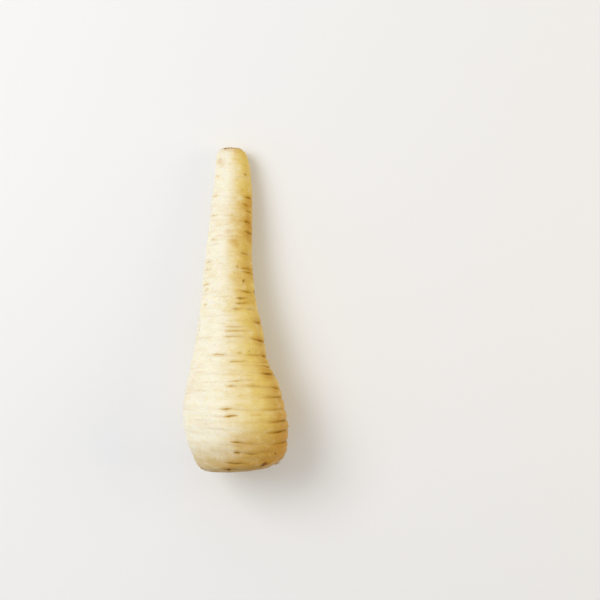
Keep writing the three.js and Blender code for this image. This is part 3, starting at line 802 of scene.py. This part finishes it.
def crown_fibres(floor):
    """Torn fibres that stand up from the plate and among the stalk bases."""
    torn = Draws(SEED + 3)
    made = []
    for _ in range(CROWN_FIBRES):
        middle = torn(0, 2 * math.pi)
        radius = PLATE_RADIUS * math.sqrt(torn(0.06, 1.0))
        length = torn(0.9, 3.0)
        outward = torn(-0.2, 0.35)
        sideways = torn(-0.5, 0.5)
        bend = torn(-0.5, 0.5)
        points = []
        for t in np.linspace(0, 1, 7):
            reach = radius + length * (outward * t + bend * t * t)
            spin = middle + sideways * length * t / max(radius, 1)
            points.append(lay(stray(0) + reach * math.sin(spin), floor + 0.4 - length * t,
                              reach * math.cos(spin)))
        made.append(fibre("crown_fibre", points, torn(0.1, 0.26), masks=fibre_masks))
    return made


def make_stub():
    bottom = float(outline_along(0)) - STUB_GAP - MORE_GAP
    floor = bottom - PLATE_THICK
    parts = [crown_plate(bottom)]
    seed = SEED
    for ring in STALK_RINGS:
        for i in range(ring["count"]):
            middle = 2 * math.pi * (i + draw(-0.12, 0.12)) / ring["count"]
            radius = ring["radius"] + draw(-0.25, 0.25)
            spread = math.radians(ring["spread"] * draw(0.85, 1.1))
            thick = ring["thick"] * draw(0.85, 1.1)
            height = ring["height"] * draw(0.7, 1.1)
            tilt = draw(-0.5, 0.5)
            # The solid also draws the raggedness of its tops, which the scene draws more finely
            for _ in range(SOLID_STALK_POINTS):
                draw(-0.3, 0.3)
            seed += 1
            parts.append(stalk_base(floor, middle, radius, spread, thick, height, ring["lean"],
                                    tilt, seed))
    made = []
    for number, (rings, first, last, heights) in enumerate(parts):
        made.append(loft(
            f"crown_piece_{number}", rings, first, last,
            {
                "tip": with_poles(smooth((heights - 0.8) / 0.2), 0, -0.6 if number else 0),
                "grain": with_poles(rings, first, last),
            },
        ))
    made += crown_fibres(floor)
    obj = joined(made, "crown_stub")
    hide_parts("leaf_stalk_stubs")
    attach(obj, "root")
    return obj


def joined(objects, name):
    bpy.ops.object.select_all(action="DESELECT")
    for obj in objects:
        obj.select_set(True)
    bpy.context.view_layer.objects.active = objects[0]
    bpy.ops.object.join()
    objects[0].name = objects[0].data.name = name
    return objects[0]


def on_skin(at, turn, height):
    """A place over the skin, given by a place along, a turn and a height."""
    at = min(at, LENGTH - 1)             # never across the cut face
    reach = skin_radius(at) * out_of_round(at, turn) + height
    return lay(stray(at) + reach * np.sin(turn), at, reach * np.cos(turn) * FLATTEN)


# Where hairs grow: place along, turn in degrees, how many, how long, how far they scatter
HAIR_TUFTS = [
    (2.0, 86, 10, 3.2, 1.2), (160.4, -20, 7, 1.1, 1.6), (160.4, 30, 6, 1.0, 1.6),
    (92.7, 39, 3, 0.9, 0.4), (117.4, 76, 3, 1.0, 0.8), (47.5, 84, 3, 1.1, 0.9), (22.8, 88, 3, 1.1, 0.9),
    (66, 170, 4, 1.6, 2.0), (118, 205, 4, 1.6, 2.0),
]
HAIR_DROOP, HAIR_SUNK = 0.45, 0.15       # how far a hair bends down, how deep its foot sits


def make_hairs():
    made = []
    hair_draw = Draws(SEED + 2)
    for at, turn, count, length, scatter in HAIR_TUFTS:
        for _ in range(count):
            foot_at = at + hair_draw(-scatter, scatter) * 0.5
            foot_turn = math.radians(turn) + hair_draw(-scatter, scatter) / skin_radius(at)
            reach = length * hair_draw(0.6, 1.1)
            drift = hair_draw(-0.7, 0.7)
            swing = hair_draw(-0.9, 0.9) / skin_radius(at)
            points = [
                on_skin(foot_at + drift * t * t, foot_turn + swing * t,
                        reach * t * (1 - HAIR_DROOP * t) - HAIR_SUNK)
                for t in np.linspace(0, 1, 7)
            ]
            made.append(fibre("hair", points, hair_draw(0.08, 0.14)))
    obj = joined(made, "root_hairs")
    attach(obj, "root")
    return obj


# Floor, light and camera, in metres and watts
FLOOR_HALF, FLOOR_COLOUR = 3.0, (243, 243, 245)
WORLD_TINT, WORLD_STRENGTH = (1.0, 0.99, 0.97, 1), 0.55
AIM = (0, 0, 0.02)
LAMPS = {
    "key": {"place": (-0.6, 0.3, 0.85), "side": 0.6, "power": 5.7, "tint": (0.98, 0.99, 1.0)},
    "fill": {"place": (0.75, 0.1, 0.4), "side": 0.5, "power": 1.45, "tint": (1.0, 0.86, 0.5)},
}
CAMERA_HEIGHT, SENSOR_MM = 0.8, 36
# Under the middle of the photo's frame, and how wide that frame is at the height of the root's middle
PHOTO_CENTRE = ((33.32 - CENTRE_X) * MM, (4.1 - CENTRE_Y) * MM)
PHOTO_WIDTH, ROOT_HEIGHT = 0.294, 0.022


def make_floor():
    mesh = bpy.data.meshes.new("floor")
    around = [(-1, -1), (1, -1), (1, 1), (-1, 1)]
    corners = [(x * FLOOR_HALF, y * FLOOR_HALF, 0) for x, y in around]
    mesh.from_pydata(corners, [], [(0, 1, 2, 3)])
    floor = bpy.data.objects.new("floor", mesh)
    bpy.context.scene.collection.objects.link(floor)
    n = Nodes("floor")
    n.surface(Base_Color=colour(*FLOOR_COLOUR), Roughness=0.8, Specular_IOR_Level=0.2)
    mesh.materials.append(n.material)


def area_light(name, place, side, power, tint):
    data = bpy.data.lights.new(name, "AREA")
    data.shape = "RECTANGLE"
    data.size = data.size_y = side
    data.energy = power
    data.color = tint
    lamp = bpy.data.objects.new(name, data)
    lamp.location = place
    lamp.rotation_euler = (Vector(AIM) - Vector(place)).to_track_quat("-Z", "Y").to_euler()
    bpy.context.scene.collection.objects.link(lamp)


def make_light():
    world = bpy.data.worlds.new("studio")
    world.use_nodes = True
    background = world.node_tree.nodes["Background"]
    background.inputs["Color"].default_value = WORLD_TINT
    background.inputs["Strength"].default_value = WORLD_STRENGTH
    bpy.context.scene.world = world
    for name, lamp in LAMPS.items():
        area_light(name, **lamp)


def make_camera():
    data = bpy.data.cameras.new("camera")
    data.sensor_width = SENSOR_MM
    data.lens = data.sensor_width * (CAMERA_HEIGHT - ROOT_HEIGHT) / PHOTO_WIDTH
    camera = bpy.data.objects.new("camera", data)
    camera.location = (*PHOTO_CENTRE, CAMERA_HEIGHT)
    bpy.context.scene.collection.objects.link(camera)
    bpy.context.scene.camera = camera


bpy.context.scene.view_settings.view_transform = "Standard"
make_camera()
make_light()
make_floor()
make_root().data.materials.append(skin_material())
make_stub().data.materials.append(cork_material())
make_hairs().data.materials.append(hair_material())
